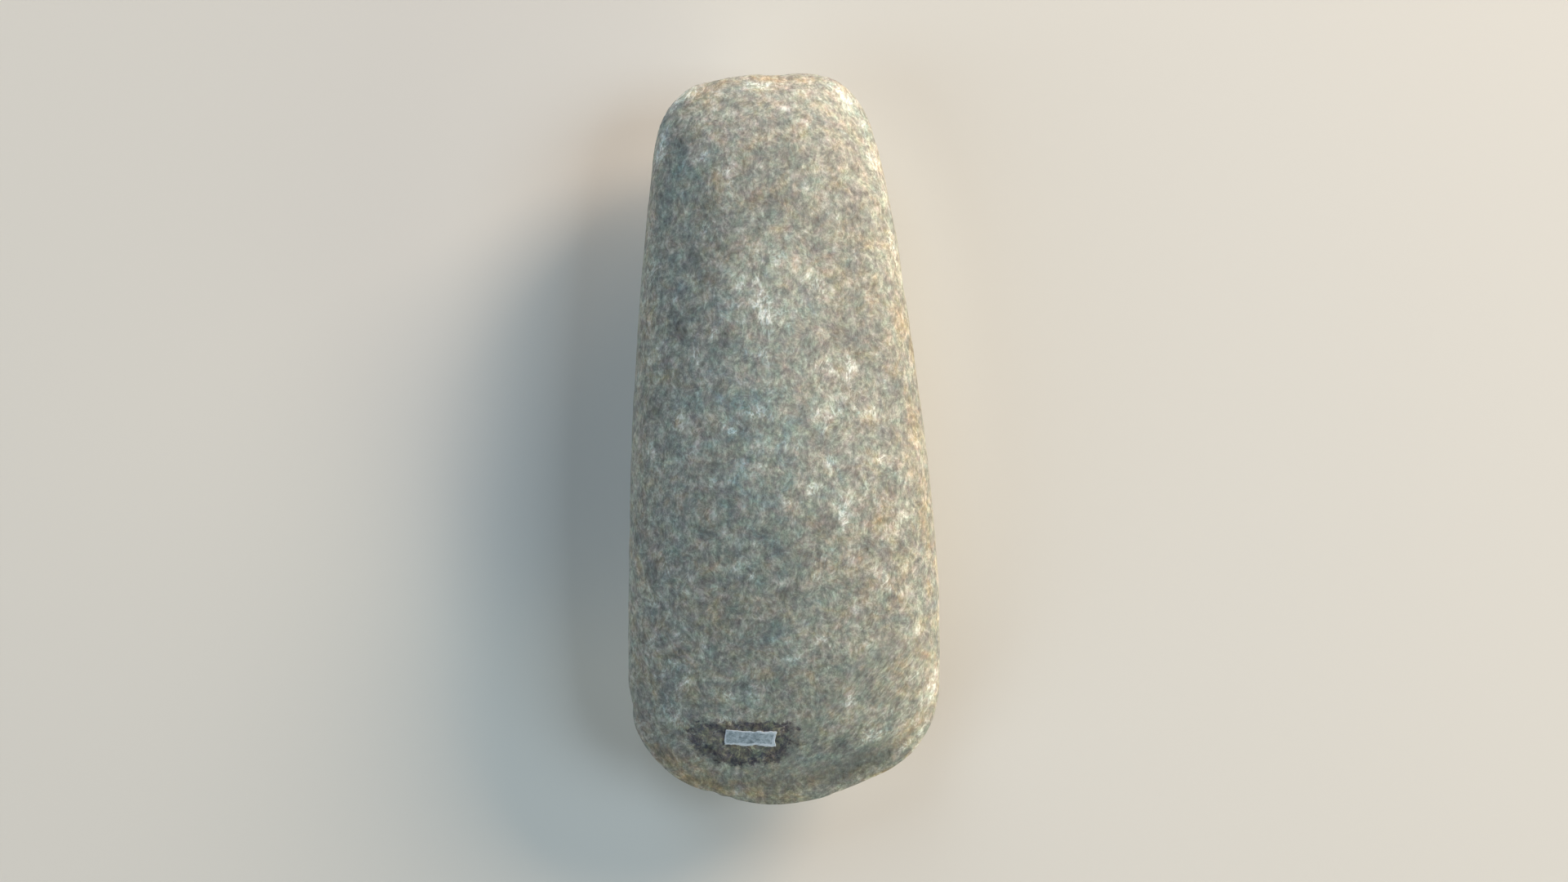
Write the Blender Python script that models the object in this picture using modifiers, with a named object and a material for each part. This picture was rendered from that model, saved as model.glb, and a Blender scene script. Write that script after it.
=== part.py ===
"""Polished stone axe head with a small blank paper slip glued near its cutting edge.

Metres, +Z up. The axe head lies on its back face, with its length along Y: the butt is at +Y and the cutting
edge at -Y. The origin is on the surface that it lies on, under the middle of the stone's box.

The stone is a sphere whose rings are drawn out along a long axis. "along" is a ring's share of the length, from
0 at the butt to 1 at the cutting edge. "around" is the angle about the long axis in degrees: 0 is the right
flank, 90 the front face, 180 the left flank and 270 the back face.
"""

import math

import bmesh
import bpy
from mathutils import Matrix, Vector, noise

# Overall sizes of the stone
LENGTH = 0.150
FRONT_DEPTH = 0.0195  # from the edge's plane to the crown of the front face
BACK_DEPTH = 0.0195  # from the edge's plane to the crown of the back face
FLAT_DEPTH = 0.0005  # how much of the back's crown is worn flat, which keeps it from rolling

# Plan, seen from the front: how far each flank is from the long axis, and how it tapers to the butt
BUTT_LEFT = 0.0222
BUTT_RIGHT = 0.0193
BLADE_LEFT = 0.0293
BLADE_RIGHT = 0.0342
LEFT_WIDEST_FROM_EDGE = 0.054
RIGHT_WIDEST_FROM_EDGE = 0.0435
LEFT_TAPER_POWER = 1.7
RIGHT_TAPER_POWER = 1.37

# Rounded ends of the plan, each as long as this and as wide as its flank
BUTT_ROUND_LEFT = 0.0156
BUTT_ROUND_RIGHT = 0.0345
BUTT_LEFT_SQUARENESS = 2.75
BUTT_RIGHT_SQUARENESS = 4.4
BLADE_ROUND = 0.0232
BLADE_LEFT_SQUARENESS = 2.03
BLADE_RIGHT_SQUARENESS = 1.94

# Side view: a blunt butt, the thickest place, and cheeks that close on the cutting edge
BUTT_DEPTH = 0.0115  # from the edge's plane to either face at the butt
FACES_TAPER_POWER = 1.9
THICKEST_FROM_EDGE = 0.072
BUTT_ROUND_FACES = 0.024
BUTT_FACES_SQUARENESS = 2.1
CHEEK_POWER = 0.84

# Cross-section: a slightly square oval along the body, and a pointed lens behind the cutting edge
BODY_SQUARENESS = 2.25
BLADE_SECTION_POWER = 1.5
BLADE_SECTION_END = 0.010
BODY_SECTION_START = 0.052

# Places ground flat: around in degrees, along, and how deep the grinding went
FLATS_GROUND = {
    "left_shoulder": (132, 0.27, 0.0008),
    "right_shoulder": (28, 0.075, 0.0013),
    "right_side": (62, 0.38, 0.0016),
    "left_cheek": (108, 0.73, 0.0008),
    "front_cheek": (97, 0.95, 0.0005),
    "right_cheek": (36, 0.974, 0.0012),
    "back_shoulder": (232, 0.24, 0.0007),
    "back_cheek": (274, 0.89, 0.0006),
    "back_right": (312, 0.62, 0.0005),
    "edge_left": (180, 0.989, 0.0004),
    "edge_right": (0, 0.982, 0.0007),
}
GRINDING_SOFTNESS = 0.0006

# Knocks in the flanks, butt and edge: around in degrees, along, radius and depth
KNOCKS = {
    "right_flank": (4, 0.288, 0.0052, 0.0005),
    "right_flank_lower": (-6, 0.405, 0.0045, 0.0003),
    "butt_left": (160, 0.002, 0.0050, 0.0004),
    "butt_middle": (75, 0.000, 0.0055, 0.0006),
    "edge_left_corner": (180, 0.859, 0.0036, 0.0014),
    "edge_right_corner": (0, 0.868, 0.0055, 0.0003),
    "back_left_flank": (214, 0.520, 0.0080, 0.0008),
}

# Slow swells all over, and the quicker unevenness of the pecked butt
SWELL_WAVE = 0.026
SWELL_HEIGHT = 0.00035
PECKED_WAVE = 0.0085
PECKED_HEIGHT = 0.00045
PECKED_LENGTH = 0.045

# The mesh of the stone
RINGS = 78
SEGMENTS = 60
SLOPE_STEP = 0.01  # share of the length, and of a radian, over which a slope is taken

# The paper slip: its middle is given from the cutting edge's tip and from the long axis
SLIP_LENGTH = 0.0101
SLIP_HEIGHT = 0.0031
SLIP_THICKNESS = 0.00018
SLIP_GAP = 0.0003
SLIP_FROM_EDGE = 0.0137
SLIP_LEFT_OF_AXIS = 0.0043
SLIP_TILT = -2.2
SLIP_CELLS_ALONG = 12
SLIP_CELLS_ACROSS = 4

STONE_COLOUR = (0.27, 0.28, 0.25, 1)
STONE_ROUGHNESS = 0.6
PAPER_COLOUR = (0.56, 0.62, 0.66, 1)
PAPER_ROUGHNESS = 0.75


def clear_scene():
    for obj in list(bpy.data.objects):
        bpy.data.objects.remove(obj)


def make_material(name, colour, roughness):
    material = bpy.data.materials.new(name)
    material.use_nodes = True
    shader = material.node_tree.nodes["Principled BSDF"]
    shader.inputs["Base Color"].default_value = colour
    shader.inputs["Roughness"].default_value = roughness
    shader.inputs["Metallic"].default_value = 0
    return material


def smoothstep(low, high, value):
    share = min(max((value - low) / (high - low), 0), 1)
    return share * share * (3 - 2 * share)


def rounded_end(distance, length, squareness):
    """A quarter of a superellipse: 0 at the very end, and 1 from this length on."""
    remaining = min(max(1 - distance / length, 0), 1)
    return (1 - remaining**squareness) ** (1 / squareness)


def taper(from_butt, widest_from_butt, butt, widest, power):
    """A size that grows from the butt and levels out at the widest place."""
    remaining = max(1 - from_butt / widest_from_butt, 0)
    return widest - (widest - butt) * remaining**power


def left_flank(from_butt):
    """Distance from the long axis to the left flank."""
    width = taper(from_butt, LENGTH - LEFT_WIDEST_FROM_EDGE, BUTT_LEFT, BLADE_LEFT, LEFT_TAPER_POWER)
    width *= rounded_end(from_butt, BUTT_ROUND_LEFT, BUTT_LEFT_SQUARENESS)
    return width * rounded_end(LENGTH - from_butt, BLADE_ROUND, BLADE_LEFT_SQUARENESS)


def right_flank(from_butt):
    """Distance from the long axis to the right flank."""
    width = taper(from_butt, LENGTH - RIGHT_WIDEST_FROM_EDGE, BUTT_RIGHT, BLADE_RIGHT, RIGHT_TAPER_POWER)
    width *= rounded_end(from_butt, BUTT_ROUND_RIGHT, BUTT_RIGHT_SQUARENESS)
    return width * rounded_end(LENGTH - from_butt, BLADE_ROUND, BLADE_RIGHT_SQUARENESS)


def face_depth(from_butt, crown):
    """Distance from the edge's plane to a face whose crown is this deep."""
    thickest = LENGTH - THICKEST_FROM_EDGE
    depth = taper(from_butt, thickest, BUTT_DEPTH, crown, FACES_TAPER_POWER)
    depth *= rounded_end(from_butt, BUTT_ROUND_FACES, BUTT_FACES_SQUARENESS)
    past_crown = min(max((from_butt - thickest) / THICKEST_FROM_EDGE, 0), 1)
    return depth * (1 - past_crown**2) ** CHEEK_POWER


def section_power(from_butt):
    """How full the cross-section is: a square oval along the body, a lens behind the cutting edge."""
    body = smoothstep(BLADE_SECTION_END, BODY_SECTION_START, LENGTH - from_butt)
    return BLADE_SECTION_POWER + (BODY_SQUARENESS - BLADE_SECTION_POWER) * body


def stone_form(around, along):
    """The plain form's point, before grinding and wear."""
    angle = math.radians(around)
    from_butt = LENGTH * along
    across = math.cos(angle)
    width = right_flank(from_butt) if across > 0 else left_flank(from_butt)
    height = max(1 - abs(across) ** BODY_SQUARENESS, 0) ** (1 / section_power(from_butt))
    if math.sin(angle) > 0:
        height *= face_depth(from_butt, FRONT_DEPTH)
    else:
        height *= -face_depth(from_butt, BACK_DEPTH)
    return Vector((across * width, -from_butt, height))


def stone_normal(around, along):
    """Outward normal of the plain form, from its slopes."""
    turn = math.degrees(SLOPE_STEP)
    nearer_butt = stone_form(around, max(along - SLOPE_STEP, 0))
    nearer_edge = stone_form(around, min(along + SLOPE_STEP, 1))
    round_it = stone_form(around + turn, along) - stone_form(around - turn, along)
    return round_it.cross(nearer_edge - nearer_butt).normalized()


def eased_depth(proud):
    """How far to grind what stands this proud of a plane, eased in and never below zero."""
    return max(proud, 0) + GRINDING_SOFTNESS * math.log1p(math.exp(-abs(proud) / GRINDING_SOFTNESS))


def ground(point, planes):
    """The point after each flat has been ground, which takes what stands proud down to a plane."""
    for on_plane, normal in planes:
        point = point - normal * eased_depth((point - on_plane).dot(normal))
    return point


def knocked(point, dents):
    """The point after each knock, a shallow round dent."""
    for middle, inward, radius, depth in dents:
        near = max(1 - (point - middle).length_squared / radius**2, 0)
        point = point + inward * depth * near**2
    return point


def roughened(point, normal, along):
    """The point moved along its normal by the slow swells and by the pecking of the butt."""
    swell = SWELL_HEIGHT * noise.noise(point / SWELL_WAVE)
    fade = 1 - smoothstep(0, PECKED_LENGTH, LENGTH * along)
    pecking = PECKED_HEIGHT * fade * noise.noise(point / PECKED_WAVE)
    return point + normal * (swell + pecking)


def grinding_planes():
    planes = []
    for around, along, depth in FLATS_GROUND.values():
        normal = stone_normal(around, along)
        planes.append((stone_form(around, along) - normal * depth, normal))
    return planes


def knock_dents():
    dents = []
    for around, along, radius, depth in KNOCKS.values():
        middle = stone_form(around, along)
        inward = (Vector((0, -LENGTH / 2, 0)) - middle).normalized()
        dents.append((middle, inward, radius, depth))
    return dents


def lay_on_flat(bm):
    """Moves the stone over the origin and wears the crown of its back flat. Returns the move in plan."""
    back = min(vertex.co.z for vertex in bm.verts)
    bmesh.ops.translate(bm, verts=bm.verts, vec=(0, 0, -back - FLAT_DEPTH))
    for vertex in bm.verts:
        vertex.co.z = max(vertex.co.z, 0)
    xs = [vertex.co.x for vertex in bm.verts]
    ys = [vertex.co.y for vertex in bm.verts]
    shift = Vector((-(min(xs) + max(xs)) / 2, -(min(ys) + max(ys)) / 2, 0))
    bmesh.ops.translate(bm, verts=bm.verts, vec=shift)
    return shift


def make_stone(material):
    """The stone, and how far it was moved in plan to centre it."""
    bm = bmesh.new()
    bmesh.ops.create_uvsphere(bm, u_segments=SEGMENTS, v_segments=RINGS, radius=1)
    planes = grinding_planes()
    dents = knock_dents()
    for vertex in bm.verts:
        x, y, z = vertex.co
        along = (1 + z) / 2
        around = math.degrees(math.atan2(y, x))
        point = knocked(ground(stone_form(around, along), planes), dents)
        outward = (point - Vector((0, point.y, 0))).normalized()
        vertex.co = roughened(point, outward, along)
    shift = lay_on_flat(bm)
    mesh = bpy.data.meshes.new("axe_head")
    bm.to_mesh(mesh)
    bm.free()
    mesh.shade_smooth()
    mesh.materials.append(material)
    stone = bpy.data.objects.new("axe_head", mesh)
    return stone, shift


def make_slip(material, stone, shift):
    """The paper slip, a flat grid laid over the front face and pressed down on it."""
    middle = Vector((-SLIP_LEFT_OF_AXIS, SLIP_FROM_EDGE - LENGTH, 0)) + shift
    middle.z = FRONT_DEPTH + BACK_DEPTH
    place = Matrix.Translation(middle) @ Matrix.Rotation(math.radians(SLIP_TILT), 4, "Z")
    place @= Matrix.Diagonal((1, SLIP_HEIGHT / SLIP_LENGTH, 1, 1))
    bm = bmesh.new()
    cells = {"x_segments": SLIP_CELLS_ALONG, "y_segments": SLIP_CELLS_ACROSS}
    bmesh.ops.create_grid(bm, size=SLIP_LENGTH / 2, matrix=place, **cells)
    mesh = bpy.data.meshes.new("paper_slip")
    bm.to_mesh(mesh)
    bm.free()
    mesh.materials.append(material)
    slip = bpy.data.objects.new("paper_slip", mesh)
    press = slip.modifiers.new("Press on to the stone", "SHRINKWRAP")
    press.target = stone
    press.wrap_method = "PROJECT"
    press.use_project_z = True
    press.use_negative_direction = True
    press.use_positive_direction = False
    press.wrap_mode = "ABOVE_SURFACE"
    press.offset = SLIP_GAP
    paper = slip.modifiers.new("Paper", "SOLIDIFY")
    paper.thickness = SLIP_THICKNESS
    paper.offset = 1
    return slip


def main():
    clear_scene()
    collection = bpy.data.collections.new("Polished stone axe")
    bpy.context.scene.collection.children.link(collection)
    stone, shift = make_stone(make_material("Polished dolerite", STONE_COLOUR, STONE_ROUGHNESS))
    slip = make_slip(make_material("Varnished paper", PAPER_COLOUR, PAPER_ROUGHNESS), stone, shift)
    collection.objects.link(stone)
    collection.objects.link(slip)


main()
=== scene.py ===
import math

import bpy
import numpy as np
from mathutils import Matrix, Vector


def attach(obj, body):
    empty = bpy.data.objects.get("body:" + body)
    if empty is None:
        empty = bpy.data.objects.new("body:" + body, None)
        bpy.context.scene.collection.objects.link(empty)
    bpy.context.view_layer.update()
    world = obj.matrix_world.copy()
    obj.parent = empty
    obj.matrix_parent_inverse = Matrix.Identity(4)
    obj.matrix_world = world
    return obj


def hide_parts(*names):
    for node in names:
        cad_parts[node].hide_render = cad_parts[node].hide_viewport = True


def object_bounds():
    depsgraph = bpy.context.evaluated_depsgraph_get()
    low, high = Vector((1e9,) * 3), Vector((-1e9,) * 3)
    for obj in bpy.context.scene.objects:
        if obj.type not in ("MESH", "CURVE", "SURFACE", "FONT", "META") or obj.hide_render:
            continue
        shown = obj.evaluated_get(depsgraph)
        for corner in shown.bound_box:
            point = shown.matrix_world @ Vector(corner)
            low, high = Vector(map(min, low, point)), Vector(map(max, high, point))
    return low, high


# The axe head lies on its back face, butt at +Y, cutting edge at -Y. All sizes are in metres.
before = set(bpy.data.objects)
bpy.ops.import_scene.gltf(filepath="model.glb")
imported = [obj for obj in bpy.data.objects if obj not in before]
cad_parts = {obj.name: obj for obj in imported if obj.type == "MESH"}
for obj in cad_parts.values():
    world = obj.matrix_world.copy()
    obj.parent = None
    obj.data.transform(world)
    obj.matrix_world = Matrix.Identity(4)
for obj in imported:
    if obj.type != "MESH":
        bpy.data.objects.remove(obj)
cad_low, cad_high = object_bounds()
MM = 0.001
LENGTH = cad_high.y - cad_low.y
MID_HEIGHT = (cad_low.z + cad_high.z) / 2

# The photograph, in its own pixels: its size, and the middle and the length of the axe head in it
PHOTO_WIDTH, PHOTO_HEIGHT = 1920, 1080
AXE_MIDDLE = (960, 538)
AXE_LENGTH = 896
PIXEL = LENGTH / AXE_LENGTH
VIEW_ANGLE = math.radians(30)
EYE_HEIGHT = PHOTO_HEIGHT * PIXEL / 2 / math.tan(VIEW_ANGLE / 2)

# Soft lights: azimuth from +X towards +Y and elevation in degrees, width in metres, watts and colour
LIGHT_DISTANCE = 2
WARM_LIGHT, COOL_LIGHT, CREAM_LIGHT = "ffe1c1", "dff2fd", "f6eec8"
LIGHTS = {
    "key": (40, 20, 0.8, 48, WARM_LIGHT),
    "low past the right shoulder": (62, 6, 0.7, 26, WARM_LIGHT),
    "past the butt": (100, 10, 0.8, 10, COOL_LIGHT),
    "high past the butt": (110, 45, 1.0, 7.5, COOL_LIGHT),
    "high on the right": (0, 45, 1.0, 15, COOL_LIGHT),
    "low on the right": (320, 10, 0.8, 18, CREAM_LIGHT),
    "fill": (205, 35, 1.2, 9.5, COOL_LIGHT),
    "low on the left": (190, 6, 0.8, 4.5, WARM_LIGHT),
}


def from_photo(pixel):
    """A pixel's place on the plane of the cutting edge, which is at the photograph's own scale."""
    return Vector(((pixel[0] - AXE_MIDDLE[0]) * PIXEL, (AXE_MIDDLE[1] - pixel[1]) * PIXEL, MID_HEIGHT))


EYE = from_photo((PHOTO_WIDTH / 2, PHOTO_HEIGHT / 2)) + Vector((0, 0, EYE_HEIGHT))


def make_camera():
    """Looks straight down on the axe head, which fills the picture as it does in the photograph."""
    camera = bpy.data.cameras.new("camera")
    camera.lens = camera.sensor_width * EYE_HEIGHT / (PHOTO_WIDTH * PIXEL)
    camera.clip_start = EYE_HEIGHT / 100
    eye = bpy.data.objects.new("camera", camera)
    eye.location = EYE
    bpy.context.scene.collection.objects.link(eye)
    bpy.context.scene.camera = eye


def linear(code):
    """An sRGB hex colour as linear light, with full opacity."""
    parts = [int(code[i : i + 2], 16) / 255 for i in (0, 2, 4)]
    return [p / 12.92 if p <= 0.04045 else ((p + 0.055) / 1.055) ** 2.4 for p in parts] + [1]


def make_light(name, azimuth, elevation, width, watts, colour):
    """A square soft light that faces the axe head."""
    turn, rise = math.radians(azimuth), math.radians(elevation)
    towards = Vector((math.cos(rise) * math.cos(turn), math.cos(rise) * math.sin(turn), math.sin(rise)))
    light = bpy.data.lights.new(name, "AREA")
    light.size = width
    light.energy = watts
    light.color = linear(colour)[:3]
    lamp = bpy.data.objects.new(name, light)
    lamp.location = Vector((0, 0, MID_HEIGHT)) + towards * LIGHT_DISTANCE
    lamp.rotation_euler = towards.to_track_quat("Z", "Y").to_euler()
    lamp.visible_camera = False
    bpy.context.scene.collection.objects.link(lamp)


def make_studio():
    """A warm soft key from the upper right, weaker lights round it and a plain pale backdrop."""
    for name, settings in LIGHTS.items():
        make_light(name, *settings)
    world = bpy.data.worlds.new("pale backdrop")
    world.use_nodes = True
    world.node_tree.nodes["Background"].inputs["Color"].default_value = linear("d9d9d6")
    # The backdrop is seen, but it sheds no light
    world.cycles_visibility.diffuse = False
    world.cycles_visibility.glossy = False
    bpy.context.scene.world = world
    bpy.context.scene.view_settings.view_transform = "Standard"


def fill(node, inputs):
    """Gives a node's inputs their values, or links to the outputs of other nodes."""
    for name, value in inputs.items():
        if isinstance(value, bpy.types.NodeSocket):
            node.id_data.links.new(value, node.inputs[name])
        else:
            node.inputs[name].default_value = value


def add_node(material, kind, inputs=(), output=0, stops=(), **settings):
    """Adds a node with its settings and inputs, and the colours of a ramp. Gives one of its outputs."""
    node = material.node_tree.nodes.new(kind)
    for name, value in settings.items():
        setattr(node, name, value)
    fill(node, dict(inputs))
    for number, (place, colour) in enumerate(stops):
        if number >= len(node.color_ramp.elements):
            node.color_ramp.elements.new(place)
        node.color_ramp.elements[number].position = place
        node.color_ramp.elements[number].color = linear(colour)
    return node.outputs[output]


# Inputs of Blender's Mix node: how much of the second it takes, then the two values or colours
MIX_AMOUNT = 0
VALUE_A, VALUE_B = 2, 3
COLOUR_A, COLOUR_B = 6, 7
# Its settings and its output for colours
MIX_COLOURS = {"data_type": "RGBA", "output": 2}
# A range that a value enters and leaves smoothly, and that holds it at its ends
SMOOTH = {"interpolation_type": "SMOOTHSTEP"}


def new_material(name):
    material = bpy.data.materials.new(name)
    material.use_nodes = True
    return material, material.node_tree.nodes["Principled BSDF"]


def add_up(material, start, layers):
    """A starting value plus each layer, which is an output and how much it counts for."""
    total = start
    for layer, weight in layers:
        inputs = {0: layer, 1: weight, 2: total}
        total = add_node(material, "ShaderNodeMath", inputs, operation="MULTIPLY_ADD")
    return total


def make_floor():
    """A plain floor that the axe head lies on. Its matt paint gives a pale ground without gloss."""
    bpy.ops.object.select_all(action="DESELECT")
    bpy.ops.mesh.primitive_circle_add(vertices=96, radius=1.5, fill_type="NGON", location=(0, 0, cad_low.z))
    floor = bpy.context.object
    floor.name = "floor"
    matt_paint, shader = new_material("matt pale paint")
    fill(shader, {"Base Color": linear("dcdcda"), "Roughness": 0.9})
    floor.data.materials.append(matt_paint)


def edit(piece, selected="SELECT"):
    """Opens a piece in edit mode, with all or none of its mesh selected."""
    bpy.ops.object.select_all(action="DESELECT")
    bpy.context.view_layer.objects.active = piece
    piece.select_set(True)
    bpy.ops.object.mode_set(mode="EDIT")
    bpy.ops.mesh.select_mode(type="VERT")
    bpy.ops.mesh.select_all(action=selected)


def finish_edit():
    bpy.ops.object.mode_set(mode="OBJECT")


def edit_where(piece, chosen):
    """Opens a piece in edit mode, with only the chosen vertices selected."""
    edit(piece, "DESELECT")
    finish_edit()
    piece.data.vertices.foreach_set("select", chosen)
    bpy.ops.object.mode_set(mode="EDIT")


def apply_modifier(piece, kind, **settings):
    """Adds a modifier and applies it at once."""
    bpy.ops.object.select_all(action="DESELECT")
    bpy.context.view_layer.objects.active = piece
    piece.select_set(True)
    modifier = piece.modifiers.new(kind.title(), kind)
    for name, value in settings.items():
        setattr(modifier, name, value)
    bpy.ops.object.modifier_apply(modifier=modifier.name)


def vertex_places(piece):
    places = np.empty(len(piece.data.vertices) * 3)
    piece.data.vertices.foreach_get("co", places)
    return places.reshape(-1, 3)


def smoothstep(low, high, value):
    share = np.clip((value - low) / (high - low), 0, 1)
    return share * share * (3 - 2 * share)


def keep_amounts(piece, name, amounts):
    """Keeps an amount for each vertex under a name, which a material reads."""
    attribute = piece.data.attributes.new(name, "FLOAT", "POINT")
    attribute.data.foreach_set("value", amounts.astype(np.float32))


def weigh(piece, name, amounts):
    """A vertex group with these amounts, which tells a modifier how strongly to work."""
    group = piece.vertex_groups.new(name=name)
    for index, amount in enumerate(amounts):
        group.add((index,), float(amount), "REPLACE")
    return name


def on_stone(stone, pixel):
    """The place on the front face that this pixel of the photograph shows."""
    hit, place, _, _ = stone.ray_cast(EYE, (from_photo(pixel) - EYE).normalized())
    return place if hit else from_photo(pixel)


def patches(stone, ovals):
    """The sum of soft oval patches, each set by the numbers that PALER gives."""
    places = vertex_places(stone)
    total = np.zeros(len(places))
    for across, down, half_length, half_width, turn, strength in ovals:
        offset = (places - np.array(on_stone(stone, (across, down)))) / MM
        angle = math.radians(turn)
        length_way = offset[:, 0] * math.cos(angle) + offset[:, 1] * math.sin(angle)
        width_way = offset[:, 1] * math.cos(angle) - offset[:, 0] * math.sin(angle)
        distance = (length_way / half_length) ** 2 + (width_way / half_width) ** 2
        distance += (offset[:, 2] / half_length) ** 2
        total += strength * np.clip(1 - distance, 0, 1) ** 2
    return total


def roughen(stone, name, width, height, detail, group=""):
    """Fine relief: a cloud texture lifts and sinks the surface, as far as the group allows."""
    clouds = bpy.data.textures.new(name, "CLOUDS")
    clouds.noise_scale = width
    clouds.noise_depth = detail
    apply_modifier(
        stone,
        "DISPLACE",
        texture=clouds,
        strength=height,
        mid_level=RELIEF_LEVEL,
        vertex_group=group,
    )


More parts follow.
